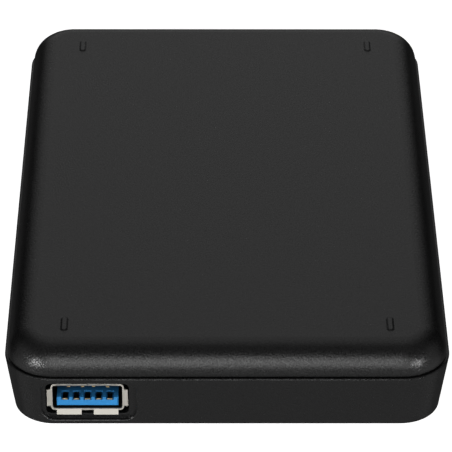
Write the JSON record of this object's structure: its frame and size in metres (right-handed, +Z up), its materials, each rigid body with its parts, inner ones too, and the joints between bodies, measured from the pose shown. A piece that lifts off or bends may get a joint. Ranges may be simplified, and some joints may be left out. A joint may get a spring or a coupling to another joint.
{
  "type": "external solid state drive",
  "caption": "Flat black moulded pocket drive with a rolled-edge cover on a tapered base and a blue type-A data port at one end, holding a solid state drive and bridge board.",
  "frame": {"origin": "middle of the flat underside, in the plane it rests on", "axes": "+Z up through the cover, +Y along the length away from the data port, +X to the right seen from the port end"},
  "size_m": [0.0798, 0.122, 0.0167],
  "materials": {
    "case_plastic": "fine-textured black moulding, satin",
    "port_steel": "bright plated sheet",
    "port_blue": "blue moulding",
    "contact_gold": "gold-plated",
    "board_green": "solder-masked board",
    "chip_black": "moulded package",
    "can_steel": "plated can",
    "chip_ceramic": "fired ceramic with tinned ends",
    "connector_black": "moulded connector",
    "drive_metal": "blasted and anodised",
    "screw_steel": "zinc-plated",
    "foam_grey": "soft closed-cell foam",
    "pad_grey": "soft heat-conducting pad"
  },
  "bodies": {
    "root": {"base_tray": "case_plastic", "top_cover": "case_plastic", "foam_pad": "foam_grey", "port_shell": "port_steel", "port_tongue": "port_blue", "port_fast_contacts": "contact_gold", "port_power_contacts": "contact_gold", "bridge_board": "board_green", "board_screws": "screw_steel", "bridge_chip": "chip_black", "bridge_crystal": "can_steel", "bridge_inductor": "chip_black", "bridge_regulator": "chip_black", "bridge_memory": "chip_black", "bridge_capacitors": "chip_ceramic", "bridge_resistors": "chip_ceramic", "drive_socket": "connector_black", "drive_socket_contacts": "contact_gold", "drive_plug": "connector_black", "drive_plug_contacts": "contact_gold", "drive_case": "drive_metal", "drive_lid": "drive_metal", "drive_screws": "screw_steel", "drive_board": "board_green", "drive_controller": "chip_black", "heat_pad": "pad_grey", "drive_buffer": "chip_black", "drive_flash_chips": "chip_black", "drive_capacitors": "chip_ceramic"}
  },
  "joints": []
}
